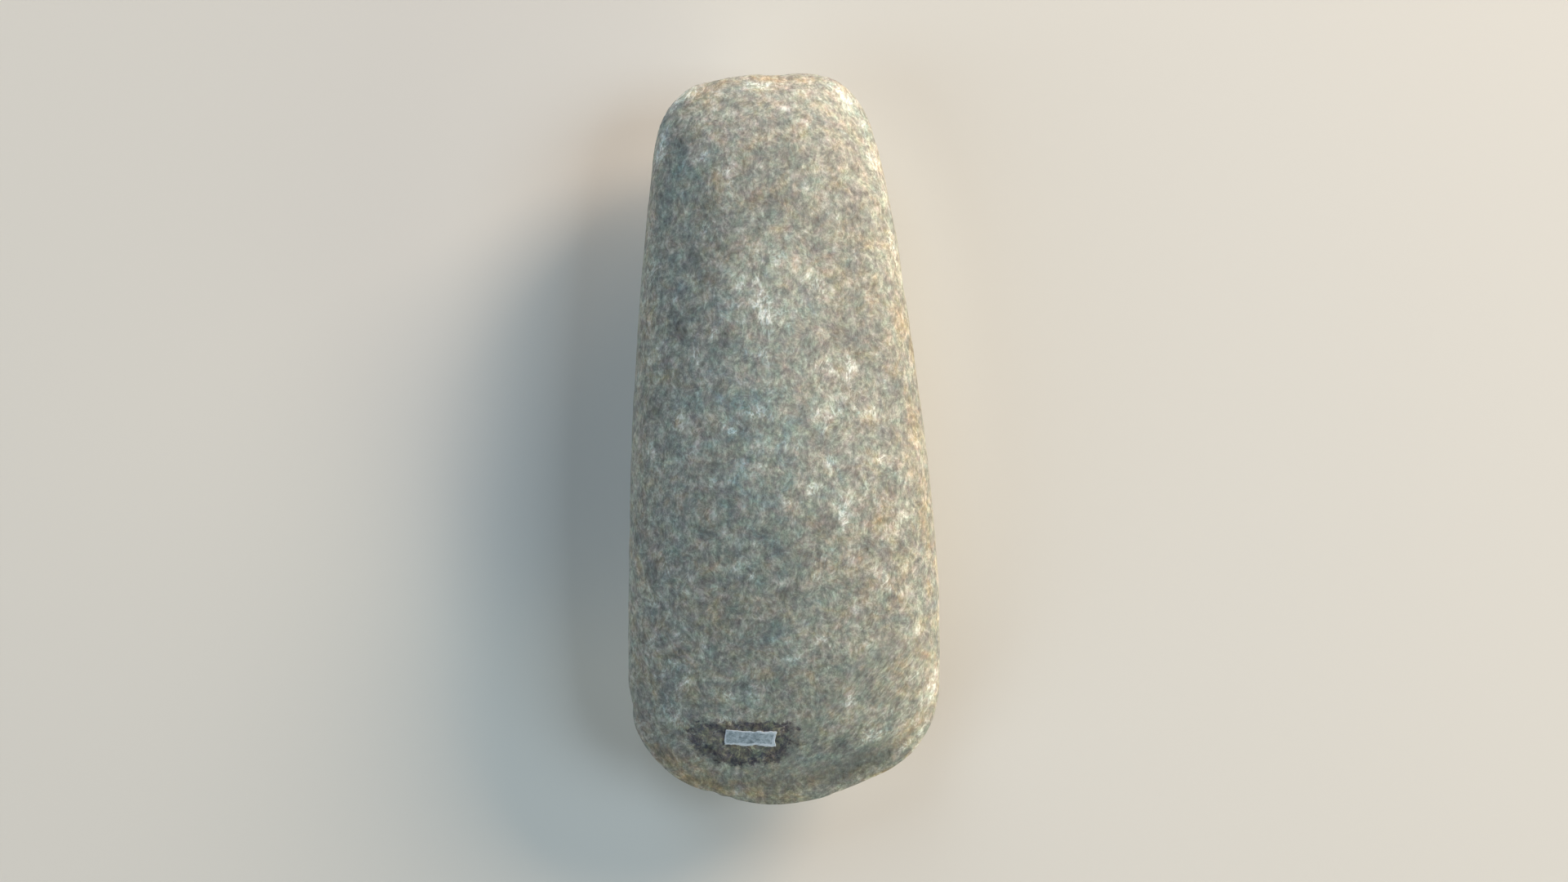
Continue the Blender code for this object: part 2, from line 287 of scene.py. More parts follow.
# Where the stone is paler, and where a highlight is painted: a pixel across and down, two half sizes in mm,
# a turn in degrees and a strength
PALER = (
    # The butt and its shoulders
    (845, 113, 4.6, 2.4, 25, 1.3),
    (882, 117, 3, 2.2, 0, 0.5),
    (930, 105, 6, 1.8, 0, 0.9),
    # These two are a painted highlight on the butt's right corner, which faces the key light
    (1031, 115, 8, 2.8, -48, 0.9),
    (1055, 150, 7, 2, -64, 0.4),
    (1068, 195, 9, 2.4, -72, 0.5),
    (1083, 240, 10, 0.9, -76, 0.4),
    (1098, 325, 12, 0.9, -78, 0.3),
    (828, 126, 3, 1.6, 45, 0.6),
    (1050, 172, 2.4, 2.4, 0, 0.6),
    (985, 287, 2.4, 2, 0, 0.4),
    (1045, 310, 2.4, 2, 0, 0.4),
    (810, 183, 7, 2, 80, 0.7),
    (797, 268, 5, 1.4, 86, 0.6),
    (862, 191, 1.8, 1.6, 0, 0.8),
    (892, 216, 3.4, 2, 80, 1.0),
    (870, 236, 4.5, 2.4, 0, 0.3),
    (982, 150, 2.6, 2, 0, 0.4),
    (960, 133, 2.2, 1.1, 0, 0.8),
    (985, 228, 6, 3.2, 0, 0.35),
    (1093, 300, 6, 1.5, -75, 0.6),
    (872, 278, 5.5, 2, 8, 0.7),
    (798, 333, 2.4, 4, 0, 1.0),
    # The long streak and what is round it
    (955, 318, 4, 2.6, 0, 0.5),
    (985, 335, 4.5, 2.6, -30, 0.5),
    (918, 362, 6.5, 2.2, -48, 0.9),
    (932, 352, 4.5, 1.7, -62, 1.2),
    (938, 386, 3.6, 2.2, 75, 1.2),
    (962, 390, 5, 2.4, -30, 0.45),
    (1003, 352, 3.4, 2.2, 0, 0.5),
    (892, 362, 2.8, 1.6, 90, 0.6),
    (875, 410, 2.2, 2, 0, 0.9),
    (850, 437, 2.7, 2.4, 0, 0.6),
    (808, 425, 4.6, 1.7, 68, 0.8),
    (847, 408, 2.2, 3, 0, 1.1),
    (948, 405, 3, 1.8, 30, 0.5),
    (918, 500, 3, 3, 0, 0.6),
    (895, 525, 2.6, 3, 0, 0.8),
    (934, 506, 3.4, 2.4, 0, 0.5),
    (970, 546, 2.6, 2.6, 0, 0.7),
    (1013, 530, 2, 2.6, 0, 1.0),
    (965, 465, 4, 2, 30, 0.5),
    (934, 435, 2.8, 1.8, -30, 0.7),
    (1112, 450, 3.8, 1.6, -80, 0.6),
    # The bright side of the middle
    (1041, 448, 4, 2.6, -70, 1.4),
    (1006, 444, 2.8, 2.4, 0, 0.7),
    (1020, 456, 3, 1.8, 15, 0.5),
    (1075, 508, 3.4, 2, -60, 0.5),
    (1020, 578, 2.4, 2, 0, 0.4),
    (1040, 480, 8, 7, 0, 0.4),
    (1062, 503, 3, 2.4, 0, 0.8),
    (1010, 508, 4.5, 2.6, 0, 0.7),
    (832, 510, 4.6, 2.1, 85, 0.6),
    (797, 553, 3.6, 1.8, -60, 0.9),
    (848, 556, 3, 2.2, 80, 0.5),
    (930, 576, 4.6, 2.4, 0, 0.5),
    (1015, 568, 3, 2.2, 90, 0.7),
    (1081, 562, 2.6, 2.2, 0, 0.8),
    (1063, 590, 2.6, 2.2, 0, 0.6),
    (1113, 586, 3.4, 1.8, 70, 0.6),
    # The vein and the cream patches to the right of it
    (997, 597, 2.2, 2, 0, 1.1),
    (1038, 608, 2.6, 2, 60, 0.8),
    (1030, 632, 5.5, 1.5, -58, 1.3),
    (1018, 683, 4, 1.6, 80, 0.8),
    (998, 708, 1.9, 1.7, 0, 0.7),
    (1005, 686, 3, 1.6, 0, 0.8),
    (1071, 755, 1.8, 2.2, 0, 1.0),
    (1070, 670, 2, 2, 0, 0.4),
    (1080, 616, 2.2, 3, 0, 0.5),
    (955, 663, 2.6, 2, 0, 0.5),
    (1087, 722, 3, 1.6, 60, 0.4),
    (925, 665, 6, 1.6, 0, 0.4),
    (978, 664, 4.2, 1.4, 60, 0.4),
    (970, 620, 4.4, 1.5, -35, 0.4),
    (1102, 640, 4.4, 2, 60, 0.8),
    (1078, 703, 5, 2.4, -50, 0.7),
    (1112, 726, 2.6, 2, 80, 0.6),
    (1045, 745, 6.5, 4, 0, 0.3),
    (1117, 776, 4, 2.4, 50, 1.0),
    # The left side, from the middle down
    (803, 632, 2.4, 1.6, 0, 0.5),
    (800, 645, 3.4, 2.4, 90, 0.5),
    (920, 705, 2, 2, 0, 0.9),
    (815, 720, 5, 2, 75, 0.8),
    (890, 590, 2.4, 2, -50, 0.4),
    (845, 595, 2.2, 2.2, 0, 0.4),
    (822, 640, 2.6, 3.4, 0, 0.5),
    (843, 897, 2.2, 4, 0, 1.4),
    (910, 690, 3.6, 2, 40, 0.4),
    (815, 690, 5, 2, 85, 0.5),
    (800, 737, 2.6, 2, 0, 0.7),
    (800, 785, 3.4, 1.8, 90, 0.5),
    (815, 820, 5, 3, 40, 0.4),
    (842, 836, 3.4, 2, 40, 0.6),
    (822, 872, 5.5, 3, -60, 0.5),
    (822, 815, 3.4, 2.4, 45, 0.6),
    # Above and beside the slip
    (862, 790, 3.2, 1.8, -60, 0.4),
    (915, 770, 2.4, 2.4, 0, 0.4),
    (1020, 796, 3, 1.6, 0, 0.5),
    (970, 806, 7, 2, 5, 0.5),
    (1011, 786, 3.2, 2.8, 0, 0.6),
    (1063, 793, 2.4, 2.2, 0, 0.6),
    (1095, 795, 3, 2, 0, 0.4),
    (924, 826, 5, 1.7, 88, 0.6),
    (892, 853, 4, 1.3, 22, 0.9),
    (925, 852, 5, 1.3, 5, 0.4),
    (1040, 860, 5, 3, 80, 0.8),
    (1065, 900, 7, 2.6, 5, 0.8),
    (1138, 843, 6, 3, 78, 1.1),
    (1120, 828, 3.6, 2, 40, 0.9),
    (1020, 941, 2.6, 1, 20, 0.5),
    (922, 916, 2.6, 1.8, -20, 0.7),
    (1090, 872, 2.4, 2.4, 0, 0.6),
    (1112, 909, 8.5, 1.1, 46, 1.3),
    (1072, 951, 6, 0.6, 22, 0.8),
    (1118, 918, 6, 0.6, 48, 1.0),
    (1115, 884, 5.5, 3.4, 50, 0.5),
    (985, 920, 3.6, 1.8, 80, 0.3),
    (884, 882, 4.5, 1.3, -8, 1.6),
    (959, 892, 2.4, 1.2, 80, 1.0),
    (938, 848, 2, 2, 0, 0.8),
)

# Where it is darker, and where shade is painted
DARKER = (
    # The butt and its shoulders
    (833, 168, 6, 1.6, -72, 0.8),
    (893, 127, 2.2, 1.8, 0, 0.5),
    (887, 153, 5, 1.8, -10, 0.7),
    (942, 150, 5, 1.8, 10, 0.5),
    (965, 188, 3.4, 2.2, 80, 0.5),
    (932, 190, 3.6, 2.6, 0, 0.5),
    (945, 210, 3, 1.8, 0, 0.4),
    (935, 246, 7, 2.4, 0, 1.0),
    (922, 280, 2.6, 1.9, 0, 0.7),
    (970, 266, 4, 2, 0, 0.5),
    (1000, 275, 3.2, 2, -40, 0.9),
    (1047, 262, 4.6, 3.6, 0, 0.8),
    (1005, 303, 3.2, 1.6, 0, 0.8),
    (988, 196, 4, 2.6, 80, 0.5),
    (985, 122, 2.6, 2, 0, 0.5),
    (965, 225, 14, 9, 90, 0.45),
    (1045, 230, 14, 5, -75, 0.25),
    (935, 131, 2.4, 2, 0, 0.5),
    (916, 247, 2.6, 3, 0, 0.6),
    (913, 292, 3, 2, 0, 0.5),
    (897, 326, 3, 2, 0, 0.6),
    (975, 345, 3, 2, 0, 0.5),
    (1020, 340, 5, 2, 90, 0.8),
    (1068, 352, 3, 2, -60, 0.6),
    (1098, 334, 2, 3, 0, 0.5),
    (838, 360, 3, 2, 60, 0.4),
    (795, 408, 3, 5, 0, 0.4),
    (822, 437, 2.4, 2, 0, 0.4),
    (1020, 215, 2.2, 2, 0, 0.5),
    (845, 215, 2.4, 2, 80, 0.4),
    # The left side, from the top
    (853, 316, 3.4, 2.4, -60, 0.9),
    (838, 332, 2.8, 2, 0, 0.6),
    (815, 308, 2.4, 1.8, 0, 0.5),
    (873, 342, 3.4, 1.7, 90, 0.5),
    (832, 398, 5.5, 2.4, -60, 1.1),
    (820, 352, 4, 1.8, 35, 0.7),
    (890, 306, 5, 1.8, 5, 0.5),
    (875, 374, 3, 2.4, 80, 0.5),
    (877, 432, 2.6, 1.8, 20, 0.5),
    (828, 434, 2.4, 1.6, 0, 0.5),
    (890, 418, 4.6, 2.6, -40, 0.9),
    (885, 475, 2.3, 2.1, 0, 0.8),
    (803, 505, 3.2, 2.8, 0, 0.5),
    (792, 522, 3.6, 2.6, 90, 1.0),
    (788, 780, 2.4, 2.6, 0, 0.6),
    (793, 573, 3.4, 2.2, 90, 1.0),
    (905, 546, 3, 2.8, 0, 0.7),
    (880, 572, 5.5, 3.4, 0, 0.7),
    (880, 606, 5.5, 3, 0, 0.7),
    (862, 650, 3.4, 2.8, 0, 0.5),
    (885, 630, 2.4, 2, 0, 0.5),
    (805, 646, 2.6, 1.5, 0, 0.5),
    (800, 700, 4, 2.6, 90, 0.6),
    (868, 705, 3, 2.2, 0, 0.7),
    (862, 713, 4, 2, 20, 0.5),
    (880, 636, 2.6, 2.4, 80, 0.5),
    (887, 676, 3.4, 2.4, 90, 0.7),
    (840, 745, 3, 3, 0, 0.4),
    (848, 658, 2.6, 1.8, 0, 0.5),
    (848, 766, 3, 2, 90, 0.5),
    (898, 745, 3, 2.2, 80, 0.8),
    (868, 750, 6, 4.5, 90, 0.5),
    (885, 800, 4, 2.6, 0, 0.4),
    # The right side, from the top
    (1038, 330, 3.4, 2.2, 0, 0.6),
    (1060, 345, 3.6, 2.4, 0, 0.4),
    (1045, 412, 6, 3.2, -40, 1.2),
    (1025, 382, 2.2, 1.6, 0, 0.4),
    (1048, 372, 6, 3, -62, 0.9),
    (1045, 431, 3.4, 2.2, -50, 0.8),
    (1045, 546, 3, 2, -40, 0.5),
    (1102, 670, 4, 1.8, -60, 0.7),
    (1120, 736, 2.6, 3, 0, 0.6),
    (1100, 475, 3.6, 2.6, 70, 0.9),
    (1090, 400, 14, 5, -75, 0.3),
    # The middle
    (985, 410, 4.2, 2.4, 90, 0.4),
    (928, 490, 2.4, 2, 0, 0.5),
    (983, 506, 3.8, 2.8, 80, 1.0),
    (996, 540, 2.8, 1.8, -50, 0.7),
    (985, 568, 2.4, 1.4, 0, 0.6),
    (953, 565, 2.6, 2, 90, 0.5),
    (935, 656, 4.6, 2.4, 0, 0.5),
    (900, 676, 3.2, 1.9, 0, 0.6),
    (1018, 636, 2.8, 2, -60, 1.1),
    (1067, 635, 2.4, 2, 0, 0.5),
    (1060, 666, 3, 1.8, 90, 0.5),
    (960, 728, 4.6, 1.8, 32, 1.1),
    (950, 764, 4.2, 2, 78, 0.6),
    (995, 760, 3, 1.8, 90, 0.5),
    (1026, 748, 4, 1.4, 80, 0.5),
    (1010, 488, 3, 2, 0, 0.4),
    (960, 706, 6, 1.6, 0, 0.4),
    (986, 712, 3, 1.6, 0, 0.6),
    (970, 587, 3, 1.6, 0, 0.5),
    (965, 800, 3.4, 2, 20, 0.5),
    (1038, 768, 3, 3, 0, 0.4),
    (1010, 765, 3, 1.8, 30, 0.6),
    (1045, 786, 2.4, 2, 0, 0.7),
    (1032, 745, 3, 1.8, 0, 0.4),
    # Behind the cutting edge
    (855, 861, 3.2, 2.8, 0, 0.7),
    (955, 830, 4.2, 3.2, 0, 0.35),
    (1022, 866, 3.6, 1.6, -70, 0.5),
    (978, 840, 2.4, 4, 0, 0.7),
    (1036, 868, 4, 2, 0, 0.7),
    # Painted shade behind the bevel of the cutting edge, where the face turns away from the key light
    (1026, 911, 6, 2.8, 20, 1.2),
    (915, 870, 3, 1.4, 0, 0.6),
    (877, 926, 3, 1.8, 0, 0.5),
    (1105, 897, 5, 1.5, 38, 0.2),
    # In the varnish
    (868, 915, 2.4, 1.0, 90, 1.2),
    (905, 934, 3, 1.4, 0, 1.2),
    (874, 932, 2.6, 1.4, -20, 1.2),
    (892, 908, 1.6, 2, 0, 0.9),
    (974, 908, 2.2, 1.4, 80, 1.0),
    (880, 889, 2.6, 0.9, -10, 0.4),
    # Along the cutting edge: painted shade, where the blade turns down away from the key light
    (970, 915, 2.8, 2, 80, 0.5),
    (1068, 923, 6, 2.6, 18, 0.5),
    (1066, 930, 12, 5, 18, 1.1),
    (1010, 950, 11, 4.5, 8, 0.9),
    (1028, 924, 7, 2, 5, 0.7),
    (930, 957, 14, 3.4, 0, 1.0),
)

# Where iron stained it brown, as above
WARMER = (
    # The butt and its shoulders
    (862, 113, 7, 3, 22, 1.6),
    (955, 97, 11, 1.6, 0, 1.8),
    (848, 172, 3, 2.4, 90, 0.8),
    (885, 235, 8, 5, 90, 0.7),
    (932, 250, 3.4, 3, 0, 0.6),
    (865, 300, 10, 6, 90, 0.3),
    (835, 222, 4, 3, 0, 0.8),
    (890, 265, 3, 2.4, 0, 0.7),
    (932, 262, 2.4, 2, 0, 0.4),
    (832, 300, 3, 5, 0, 0.7),
    (1055, 297, 4.5, 3.4, 0, 1.1),
    # The left side, from the top
    (796, 325, 2.4, 4, 0, 1.0),
    (822, 365, 4, 2.4, 90, 0.8),
    (787, 460, 3, 5, 0, 0.8),
    (820, 462, 4.6, 3, 0, 0.8),
    (784, 570, 3, 4, 0, 0.7),
    (790, 622, 3, 5, 0, 0.9),
    (803, 736, 3.6, 3.2, 0, 1.2),
    (880, 752, 8, 5, 80, 0.7),
    (786, 790, 3, 5, 0, 0.8),
    (845, 800, 14, 9, 0, 0.5),
    (812, 817, 4, 2, 0, 0.9),
    (794, 834, 5, 4, 80, 1.5),
    # The right side, from the top
    (1026, 338, 4, 3.6, 0, 1.2),
    (1066, 370, 8, 4, -72, 0.4),
    (1055, 390, 3, 3, 0, 0.6),
    (1108, 400, 16, 3.2, -78, 1.0),
    (1107, 482, 3, 4, 0, 0.5),
    (1118, 520, 8, 3.4, -80, 1.5),
    (1108, 612, 2.6, 4, 0, 0.9),
    (1135, 640, 10, 2.6, -84, 1.2),
    (1080, 640, 10, 7, -60, 0.9),
    (1065, 690, 5, 4.5, 0, 1.0),
    (1138, 716, 3, 6, 0, 0.9),
    (1018, 742, 3, 2.6, 0, 0.8),
    (1075, 765, 16, 8, 90, 0.5),
    (1137, 800, 9, 3.4, 90, 0.6),
    (1035, 838, 4.5, 3, -50, 0.7),
    (1075, 845, 8, 6, 0, 0.5),
    (1120, 880, 12, 6, 50, 0.4),
    (1118, 892, 7, 4, 48, 0.8),
    # Along the cutting edge, from the left
    (812, 925, 6, 3.6, -40, 1.4),
    (825, 925, 6, 3.6, -40, 0.6),
    (830, 895, 6, 5, -40, 0.9),
    (838, 886, 3, 2.4, 0, 0.8),
    (840, 953, 5, 2.4, -30, 1.0),
    (850, 944, 12, 5, -28, 1.2),
    (868, 961, 8, 2.4, -20, 1.8),
    (930, 952, 14, 4, 0, 0.5),
    (930, 970, 14, 4, 0, 0.8),
    (945, 977, 12, 2.4, -3, 1.5),
    (1020, 948, 10, 3.4, 12, 1.0),
    (1060, 945, 10, 3, 22, 0.7),
    (1072, 951, 7, 1.0, 22, 2.2),
    (1075, 948, 5, 1.6, 22, 1.2),
    (1118, 918, 6, 0.8, 48, 1.4),
)

# Where it stays the cool slate of the fresh stone, and where a cool highlight and cool shade are painted
COOLER = (
    # The butt and its shoulders
    (930, 104, 5, 1.6, 0, 0.9),
    (1017, 106, 3.4, 2, 0, 0.8),
    (960, 133, 2.4, 1.4, 0, 0.8),
    # A painted highlight, cool, on the butt's right corner, which faces the key light
    (1050, 140, 7, 3.6, -60, 1.1),
    (905, 157, 6, 3, 0, 0.6),
    (812, 168, 8, 2.6, 78, 1.4),
    (862, 191, 2, 1.6, 0, 0.8),
    (888, 206, 3.4, 2.4, 80, 1.2),
    (835, 215, 13, 4.5, 82, 1.2),
    (1010, 215, 3, 3, 0, 0.6),
    (985, 217, 6, 4, 90, 0.8),
    (890, 255, 4, 2.4, 90, 0.5),
    (975, 275, 5, 4, 90, 0.7),
    # The left side, from the top
    (830, 330, 12, 4.5, 86, 0.9),
    (885, 336, 5, 3, 0, 0.5),
    (885, 372, 4, 3.4, 0, 0.7),
    (820, 415, 5, 3.6, 0, 0.6),
    (895, 462, 4, 3, 0, 0.5),
    (900, 495, 8, 5, 90, 0.8),
    (880, 600, 6, 4, 80, 0.6),
    (870, 681, 4, 3, 0, 0.7),
    (845, 703, 3.4, 2.8, 0, 0.6),
    (890, 739, 4, 2.4, 0, 0.5),
    (902, 740, 3.4, 2.8, 0, 0.6),
    # The middle, from the top
    (925, 520, 38, 15, 86, 1.15),
    (985, 327, 4, 4, 0, 0.7),
    (978, 372, 6, 5, 0, 0.9),
    (940, 376, 3, 3, 0, 0.6),
    (960, 400, 10, 7, 90, 0.4),
    (1000, 403, 6, 3.4, 90, 0.6),
    (1000, 452, 6, 4, 0, 0.8),
    (936, 495, 3.6, 3, 0, 0.8),
    (1010, 502, 6, 5, 0, 1.6),
    (975, 520, 5, 5, 0, 0.7),
    (1008, 540, 4, 4, 0, 0.6),
    (1025, 540, 4, 3, 0, 0.6),
    (1045, 548, 3.8, 3.6, 0, 0.7),
    (965, 587, 6, 4, 90, 0.8),
    (945, 625, 9, 6, 20, 0.5),
    (925, 668, 7, 4.5, 10, 0.9),
    (955, 700, 9, 5, 0, 0.5),
    (955, 707, 4, 4, 0, 0.5),
    (975, 735, 4, 3, 0, 0.5),
    (945, 785, 3.4, 2.8, 0, 0.5),
    # The right side, from the top
    (1075, 397, 8, 3.4, -72, 0.7),
    (1035, 622, 5, 3, -60, 0.7),
    (1030, 624, 4, 2.4, 30, 0.6),
    (1075, 700, 5, 4, 0, 0.6),
    (1098, 752, 4, 3, 0, 0.5),
    # Behind the cutting edge
    (928, 816, 3.4, 2.4, 0, 0.7),
    (985, 839, 3, 3, 0, 1.0),
    (990, 880, 4, 3.4, 0, 0.4),
    # These two are painted shade: the cool grey of the blade where it turns down away from the key light
    (1040, 918, 8, 4, 8, 0.6),
    (1000, 930, 8, 3, 12, 0.8),
)

# Where the grinding left strokes, as above, and their turn in degrees: they run up to the right
STROKES = (
    (1078, 860, 20, 12, 50, 2.0),
    (1000, 915, 12, 9, 30, 1.0),
)
STROKES_TURN = 53

# The old varnish round the slip: the pixel of its middle, and how far it reaches from there in mm
VARNISH_MIDDLE = (908, 903)
VARNISH_SIDEWAYS = 11.0
VARNISH_ABOVE = 3.6
VARNISH_BELOW = 6.4
# What lies deeper than this below its middle, in mm, is the back face, which is bare
VARNISH_DEPTH = 22.0
# How square its outline is above, at the lower left and at the lower right: 1 is a diamond and 2 an oval
VARNISH_SQUARENESS = (4, 1.5, 2.2)
# A distance from its middle that is well past its outline, which is at 1
BARE = 2

# Where the outline is chipped, worn or bulges: a pixel, how wide and how far in mm, and which way in degrees
UNEVEN_PLACES = {
    "chip in the edge, left": ((872, 972), 2.2, 0.42, 65),
    "chip beside it": ((893, 980), 1.6, 0.22, 70),
    "chip in the edge, right": ((1024, 974), 1.6, 0.15, 110),
    "worn right corner": ((1128, 899), 4.0, 0.14, 138),
    "chip at the left corner": ((774, 866), 1.4, 0.25, 0),
    "worn left shoulder": ((874, 97), 5.0, 0.75, 285),
    "bulge in the edge": ((1014, 976), 12.0, 0.45, 278),
    "chip in the right flank": ((1104, 346), 2.4, 0.3, 180),
}

# The pecking: how far from the butt it is whole and where it ends, and how much of it shows through beyond
PECKED_WHOLE, PECKED_END = 4 * MM, 30 * MM
PECKED_LEFT = 0.25
PECK_WIDTH, PECK_DEPTH = 1.6 * MM, 0.30 * MM
GRAIN_WIDTH, GRAIN_DEPTH = 5 * MM, 0.20 * MM
# The level of a texture that leaves the surface where it is. Most of it is lower, and sinks in.
RELIEF_LEVEL = 0.62
# The solid's triangles are joined in pairs where they meet at a smaller angle than this
JOINED_ANGLE = math.radians(60)


def varnish_distance(stone):
    """How far each place is from the varnish's middle, where 1 is its outline, a shield flat on top."""
    offset = (vertex_places(stone) - np.array(on_stone(stone, VARNISH_MIDDLE))) / MM
    sideways = np.abs(offset[:, 0]) / VARNISH_SIDEWAYS
    height = np.where(offset[:, 1] > 0, offset[:, 1] / VARNISH_ABOVE, -offset[:, 1] / VARNISH_BELOW)
    above, lower_left, lower_right = VARNISH_SQUARENESS
    squareness = np.select((offset[:, 1] > 0, offset[:, 0] < 0), (above, lower_left), lower_right)
    distance = (sideways**squareness + height**squareness) ** (1 / squareness)
    return np.where(offset[:, 2] < -VARNISH_DEPTH, BARE, distance)


def move_outline(stone, pixel, width, distance, way):
    """Moves the outline at a pixel this far and this way, fading out over this width."""
    from_place = np.linalg.norm(vertex_places(stone) - np.array(from_photo(pixel)), axis=1)
    edit_where(stone, from_place == from_place.min())
    turn = math.radians(way)
    bpy.ops.transform.translate(
        value=(distance * math.cos(turn), distance * math.sin(turn), 0),
        use_proportional_edit=True,
        proportional_edit_falloff="SMOOTH",
        proportional_size=width,
    )
    finish_edit()


def make_stone():
    """The stone, from its CAD solid: smoothed, then pecked at the butt, ground at the blade and chipped."""
    stone = bpy.data.objects.new("ground_stone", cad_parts["axe_head"].data.copy())
    bpy.context.scene.collection.objects.link(stone)
    edit(stone)
    bpy.ops.mesh.remove_doubles(threshold=0.001 * MM)
    bpy.ops.mesh.tris_convert_to_quads(face_threshold=JOINED_ANGLE, shape_threshold=JOINED_ANGLE)
    finish_edit()
    apply_modifier(stone, "SUBSURF", levels=2, render_levels=2)

    ground_away = smoothstep(PECKED_WHOLE, PECKED_END, cad_high.y - vertex_places(stone)[:, 1])
    pecked = weigh(stone, "pecked", PECKED_LEFT + (1 - PECKED_LEFT) * (1 - ground_away))
    roughen(stone, "pecking", PECK_WIDTH, PECK_DEPTH, 2, pecked)
    roughen(stone, "worn grain", GRAIN_WIDTH, GRAIN_DEPTH, 1)
    stone.vertex_groups.clear()
    for pixel, width, distance, way in UNEVEN_PLACES.values():
        move_outline(stone, pixel, width * MM, distance * MM, way)

    # The worn flat under it stays level
    edit_where(stone, vertex_places(stone)[:, 2] < cad_low.z)
    bpy.ops.transform.resize(value=(1, 1, 0), center_override=(0, 0, cad_low.z))
    finish_edit()

    # Paler and warmer also carry painted light: a highlight on the butt's right corner and shade along the
    # cutting edge
    keep_amounts(stone, "paler", patches(stone, PALER) - patches(stone, DARKER))
    keep_amounts(stone, "warmer", patches(stone, WARMER) - patches(stone, COOLER))
    keep_amounts(stone, "strokes", np.clip(patches(stone, STROKES), 0, 1))
    keep_amounts(stone, "varnish", varnish_distance(stone))
    stone.data.shade_smooth()
    return stone


# The paper slip: its size, its turn and the pixel of its middle
SLIP_LENGTH = 10.1 * MM
SLIP_HEIGHT = 3.1 * MM
SLIP_THICKNESS = 0.12 * MM
SLIP_TILT = math.radians(-2.2)
SLIP_MIDDLE = (919, 904)
GLUE_THICKNESS = 0.03 * MM
# Its edges are worn in waves this wide, which wander by half this depth to either side
FRAY_WIDTH, FRAY_DEPTH = 1.6 * MM, 0.7 * MM
# The blank margin round its faded middle starts and stops fading here, in mm with the fibres added
MARGIN_FADES = (0.57, 0.85)


def make_slip(stone):
    """A small slip of paper with worn edges, pressed on to the stone."""
    middle = on_stone(stone, SLIP_MIDDLE)
    bpy.ops.object.select_all(action="DESELECT")
    bpy.ops.mesh.primitive_grid_add(x_subdivisions=80, y_subdivisions=26, size=1, calc_uvs=True)
    slip = bpy.context.object
    slip.name = "blank_slip"
    edit(slip)
    bpy.ops.transform.resize(value=(SLIP_LENGTH, SLIP_HEIGHT, 1))
    bpy.ops.transform.rotate(value=-SLIP_TILT, orient_axis="Z", center_override=(0, 0, 0))
    bpy.ops.transform.translate(value=(middle.x, middle.y, cad_high.z))
    finish_edit()
    frayed = bpy.data.textures.new("frayed edge", "CLOUDS")
    frayed.noise_scale = FRAY_WIDTH
    for axis in "XY":
        apply_modifier(slip, "DISPLACE", texture=frayed, strength=FRAY_DEPTH, direction=axis)
    apply_modifier(
        slip,
        "SHRINKWRAP",
        target=stone,
        wrap_method="PROJECT",
        use_project_z=True,
        use_negative_direction=True,
        use_positive_direction=False,
        wrap_mode="ABOVE_SURFACE",
        offset=GLUE_THICKNESS,
    )
    apply_modifier(slip, "SOLIDIFY", thickness=SLIP_THICKNESS, offset=1)
    slip.data.shade_smooth()
    return slip


# How wide the largest marks of each pattern are, on the stone and in its varnish
CRYSTALS, CRYSTALS_IN_STROKES = 1.05 * MM, 0.8 * MM
CLUMPS, CLOUDS, SPECKS, WISPS = 5 * MM, 22 * MM, 2.6 * MM, 3.4 * MM
IRON, MINERALS = 4.5 * MM, 2.4 * MM
VARNISH_WANDER, VARNISH_BLOTCHES = 2 * MM, 1.7 * MM
# Real pits and paper fibres are finer, and are drawn this coarse so that they show
PITS, PIT_DEPTH = 0.7 * MM, 0.12 * MM
FIBRES, FIBRE_DEPTH = 0.8 * MM, 0.05 * MM
SMUDGES = 0.9 * MM
# The crystals drift in swirls this wide, by up to this far
SWIRL_WIDTH, SWIRL_REACH = 6 * MM, 3 * MM
# A wisp lies where its pattern is nearer to its middle value than this
WISP_REACH = 0.045
# Where the varnish ends, and where it is gathered into a darker rim, with its wander added to the distance
VARNISH_ENDS = (1.64, 1.39)
VARNISH_GATHERS = (1.20, 1.45)
# What the patterns of tone and of hue are added to, so that their sums lie round the middle of a ramp
TONE_START, HUE_START = -0.345, 0.040


def marks(material, place, width, detail, roughness, warp=0, turn=0, stretch=(1, 1, 1), shift=(0, 0, 0)):
    """A cloudy pattern whose largest marks are this wide, turned and drawn out. A shift sets it apart."""
    inputs = {"Vector": place, "Rotation": (0, 0, math.radians(turn)), "Scale": stretch, "Location": shift}
    own_axes = add_node(material, "ShaderNodeMapping", inputs, vector_type="TEXTURE")
    inputs = {"Vector": own_axes, "Scale": 1 / width, "Detail": detail, "Roughness": roughness}
    return add_node(material, "ShaderNodeTexNoise", {**inputs, "Distortion": warp})


def crystal_grain(material, place, strokes):
    """Crystals about a millimetre across. Their grain runs up the stone, or along the grinding strokes."""
    inputs = {"Vector": place, "Scale": 1 / SWIRL_WIDTH, "Detail": 1}
    drift = add_node(material, "ShaderNodeTexNoise", inputs, output="Color")
    inputs = {0: drift, 1: (SWIRL_REACH, SWIRL_REACH, SWIRL_REACH), 2: place}
    swirled = add_node(material, "ShaderNodeVectorMath", inputs, operation="MULTIPLY_ADD")
    way = {"turn": 90, "stretch": (1.3, 1, 1)}
    upright = marks(material, swirled, CRYSTALS, detail=3, roughness=0.8, warp=0.25, **way)
    way = {"turn": STROKES_TURN, "stretch": (2, 0.9, 1)}
    slanting = marks(material, place, CRYSTALS_IN_STROKES, detail=3, roughness=0.8, warp=0.3, **way)
    inputs = {MIX_AMOUNT: strokes, VALUE_A: upright, VALUE_B: slanting}
    return add_node(material, "ShaderNodeMix", inputs, data_type="FLOAT")


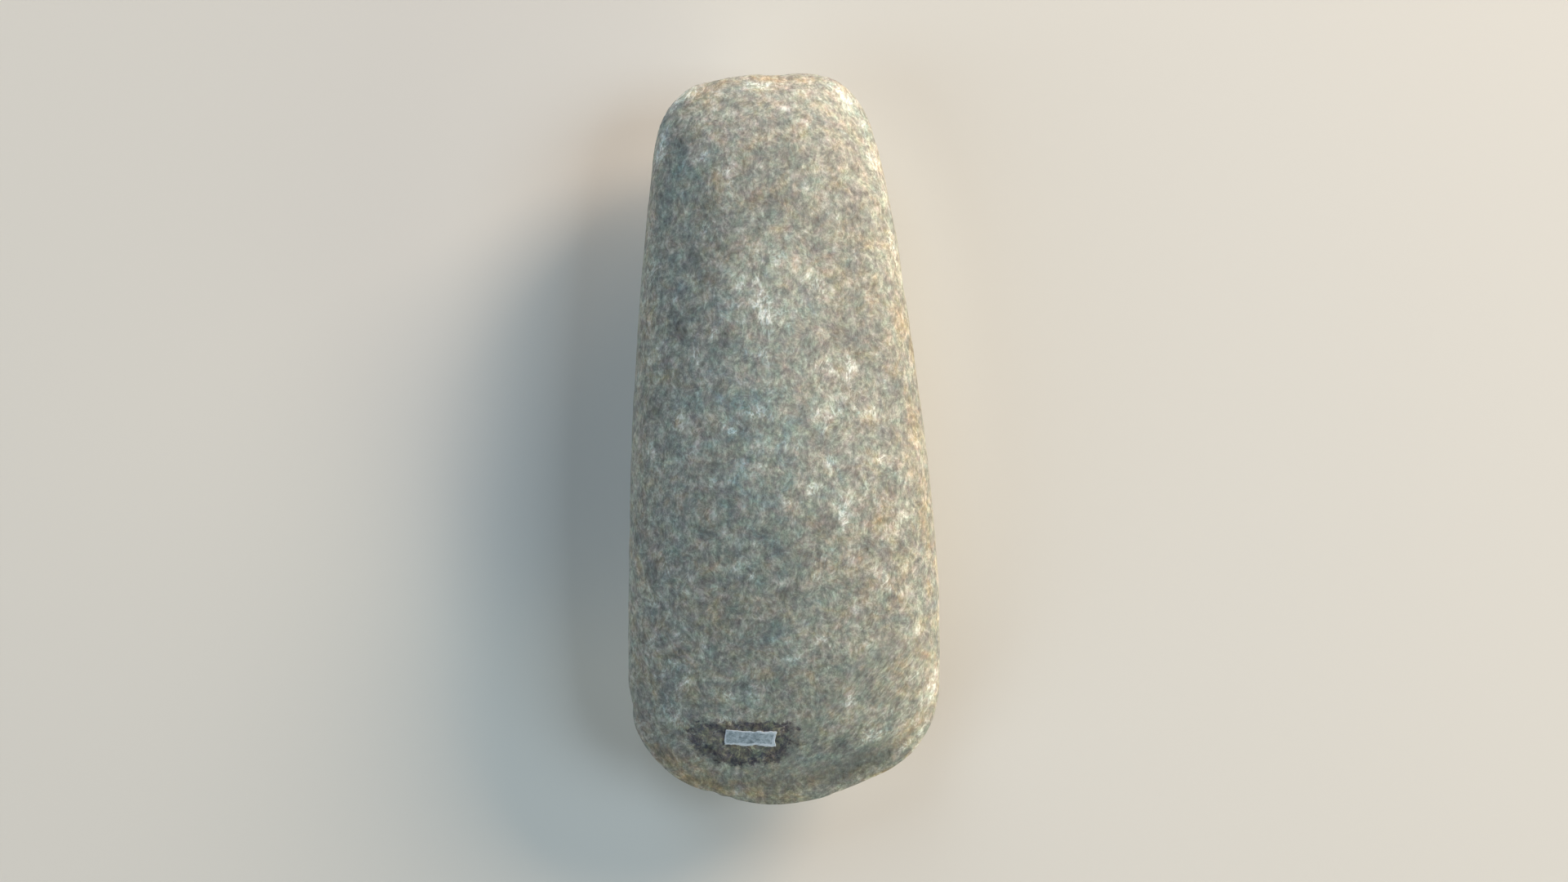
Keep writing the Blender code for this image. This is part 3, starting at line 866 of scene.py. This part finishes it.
def pale_wisps(material, place, paler):
    """Thin lines that wander up the stone, and the pale wisps: those lines, strongest where it is paler."""
    way = {"turn": 78, "stretch": (1.7, 1, 1), "shift": (0.4, 0.2, 0.1)}
    wandering = marks(material, place, WISPS, detail=3, roughness=0.7, warp=0.5, **way)
    off_middle = add_node(material, "ShaderNodeMath", {0: wandering, 1: 0.5}, operation="SUBTRACT")
    off_line = add_node(material, "ShaderNodeMath", {0: off_middle}, operation="ABSOLUTE")
    inputs = {"Value": off_line, "From Min": WISP_REACH, "From Max": 0}
    lines = add_node(material, "ShaderNodeMapRange", inputs, **SMOOTH)
    inputs = {"Value": paler, "From Min": -0.3, "From Max": 0.9, "To Min": 0.1}
    amount = add_node(material, "ShaderNodeMapRange", inputs, **SMOOTH)
    return lines, add_node(material, "ShaderNodeMath", {0: lines, 1: amount}, operation="MULTIPLY")


def old_varnish(material, place, distance, lines):
    """Thin old varnish, worn in flecks: its colour, and how much of it there is."""
    wander = marks(material, place, VARNISH_WANDER, detail=3, roughness=0.75)
    edge = add_up(material, distance, ((wander, 1.1),))
    amounts = []
    for start, end in (VARNISH_ENDS, VARNISH_GATHERS):
        inputs = {"Value": edge, "From Min": start, "From Max": end}
        amounts.append(add_node(material, "ShaderNodeMapRange", inputs, **SMOOTH))
    varnished, gathered = amounts
    blotches = marks(material, place, VARNISH_BLOTCHES, detail=3, roughness=0.8, warp=0.4)
    blotches = add_up(material, blotches, ((gathered, -0.12), (lines, 0.13)))
    colours = ((0.28, "7b7892"), (0.42, "aba6b5"), (0.5, "c7c1c6"), (0.68, "f6ecda"))
    return add_node(material, "ShaderNodeValToRGB", {"Fac": blotches}, stops=colours), varnished


def stone_material():
    """Dolerite, ground on sandstone and weathered. It gives the eye a soft mottle of slate and cream, with a
    painted highlight on the butt's right corner and painted shade along the cutting edge.
    """
    material, shader = new_material("ground weathered dolerite")
    place = add_node(material, "ShaderNodeTexCoord", output="Object")
    paler, warmer, strokes, varnish = (
        add_node(material, "ShaderNodeAttribute", output="Fac", attribute_name=name)
        for name in ("paler", "warmer", "strokes", "varnish")
    )

    # How light it is, with the painted highlight and shade that paler carries
    crystals = crystal_grain(material, place, strokes)
    clumps = marks(material, place, CLUMPS, detail=2, roughness=0.8, warp=0.3)
    clouds = marks(material, place, CLOUDS, detail=1, roughness=0.6)
    spread = marks(material, place, SPECKS, detail=2, roughness=0.6, shift=(0.1, 0.2, 0.3))
    inputs = {"Value": spread, "From Min": 0.58, "From Max": 0.76}
    specks = add_node(material, "ShaderNodeMapRange", inputs, **SMOOTH)
    lines, wisps = pale_wisps(material, place, paler)
    patterns = ((crystals, 1), (clumps, 0.48), (clouds, 0.16), (specks, 0.1), (wisps, 0.19), (paler, 0.13))
    tone = add_up(material, TONE_START, patterns)
    colours = ((0.1, "474b4a"), (0.36, "757977"), (0.5, "90938c"), (0.64, "b2b3aa"), (0.9, "edefe8"))
    colour = add_node(material, "ShaderNodeValToRGB", {"Fac": tone}, stops=colours)

    # Iron that stains it brown in clouds, over the slate-blue of the fresh stone
    iron = marks(material, place, IRON, detail=3, roughness=0.78, warp=0.5, shift=(0.3, 0.1, 0.2))
    # warmer also carries the cool painted highlight on the butt's right corner and the cool painted shade
    # along the cutting edge
    patterns = ((iron, 1.0), (clumps, 0.25), (crystals, -0.38), (wisps, -0.18), (warmer, 0.13))
    hue = add_up(material, HUE_START, patterns)
    colours = ((0, "9fbdd2"), (0.3, "b3bdc2"), (0.5, "bcbcbc"), (0.7, "c6bbad"), (1, "d8b991"))
    iron_tint = add_node(material, "ShaderNodeValToRGB", {"Fac": hue}, stops=colours)
    # Green and rosy minerals, both faint
    minerals = marks(material, place, MINERALS, detail=3, roughness=0.8, shift=(0.7, 0.4, 0.5))
    colours = ((0.25, "b7c2ba"), (0.5, "bcbcbc"), (0.75, "c2b6bf"))
    mineral_tint = add_node(material, "ShaderNodeValToRGB", {"Fac": minerals}, stops=colours)
    for tint in (iron_tint, mineral_tint):
        inputs = {MIX_AMOUNT: 1.0, COLOUR_A: colour, COLOUR_B: tint}
        colour = add_node(material, "ShaderNodeMix", inputs, blend_type="OVERLAY", **MIX_COLOURS)

    varnish_colour, varnished = old_varnish(material, place, varnish, lines)
    inputs = {MIX_AMOUNT: varnished, COLOUR_A: colour, COLOUR_B: varnish_colour}
    colour = add_node(material, "ShaderNodeMix", inputs, blend_type="MULTIPLY", **MIX_COLOURS)

    # The ground face has a low polish, and the varnish is a little glossier
    inputs = {"Value": crystals, "From Min": 0.3, "From Max": 0.7, "To Min": 0.70, "To Max": 0.54}
    polish = add_node(material, "ShaderNodeMapRange", inputs, **SMOOTH)
    roughness = add_up(material, polish, ((varnished, -0.2),))
    pits = marks(material, place, PITS, detail=2, roughness=0.6)
    relief = add_up(material, 0, ((crystals, 0.6), (pits, 0.4)))
    bump = add_node(material, "ShaderNodeBump", {"Height": relief, "Strength": 0.5, "Distance": PIT_DEPTH})
    fill(shader, {"Base Color": colour, "Roughness": roughness, "IOR": 1.55, "Normal": bump})
    return material


def from_nearest_end(material, share, size):
    """How far in from the nearer end of the slip, in mm, for the share of its size that is passed."""
    off_middle = add_node(material, "ShaderNodeMath", {0: share, 1: 0.5}, operation="SUBTRACT")
    distance = add_node(material, "ShaderNodeMath", {0: off_middle}, operation="ABSOLUTE")
    return add_up(material, size / 2 / MM, ((distance, -size / MM),))


def slip_material():
    """Rag paper, glued and varnished over. It gives a blue-white margin round a grey, faded middle."""
    material, shader = new_material("varnished rag paper")
    place = add_node(material, "ShaderNodeTexCoord", output="Object")
    flat_paper = add_node(material, "ShaderNodeUVMap")
    across, up = (add_node(material, "ShaderNodeSeparateXYZ", {0: flat_paper}, output=axis) for axis in "XY")
    from_short_edge = from_nearest_end(material, across, SLIP_LENGTH)
    from_long_edge = from_nearest_end(material, up, SLIP_HEIGHT)
    inputs = {0: from_short_edge, 1: from_long_edge}
    from_edge = add_node(material, "ShaderNodeMath", inputs, operation="MINIMUM")
    fibres = marks(material, place, FIBRES, detail=3, roughness=0.75)
    # The margin is ragged, and widest at the lower right
    ragged = add_up(material, from_edge, ((fibres, 0.6), (across, -0.35), (up, 0.30)))
    fade_start, fade_end = MARGIN_FADES
    inputs = {"Value": ragged, "From Min": fade_start, "From Max": fade_end}
    faded = add_node(material, "ShaderNodeMapRange", inputs, **SMOOTH)

    colours = ((0.25, "a9bac9"), (0.5, "cdd9e8"), (0.75, "dfe8f6"))
    paper = add_node(material, "ShaderNodeValToRGB", {"Fac": fibres}, stops=colours)
    smudges = marks(material, place, SMUDGES, detail=3, roughness=0.8)
    colours = ((0.3, "6f7e8a"), (0.5, "9aaab8"), (0.7, "c4d2e2"))
    wash = add_node(material, "ShaderNodeValToRGB", {"Fac": smudges}, stops=colours)
    inputs = {MIX_AMOUNT: faded, COLOUR_A: paper, COLOUR_B: wash}
    colour = add_node(material, "ShaderNodeMix", inputs, blend_type="MIX", **MIX_COLOURS)
    bump = add_node(material, "ShaderNodeBump", {"Height": fibres, "Strength": 0.4, "Distance": FIBRE_DEPTH})
    fill(shader, {"Base Color": colour, "Roughness": 0.55, "Normal": bump})
    return material


make_camera()
make_studio()
make_floor()

stone = make_stone()
stone.data.materials.clear()
stone.data.materials.append(stone_material())
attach(stone, "root")
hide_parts("axe_head")

slip = make_slip(stone)
slip.data.materials.clear()
slip.data.materials.append(slip_material())
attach(slip, "root")
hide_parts("paper_slip")
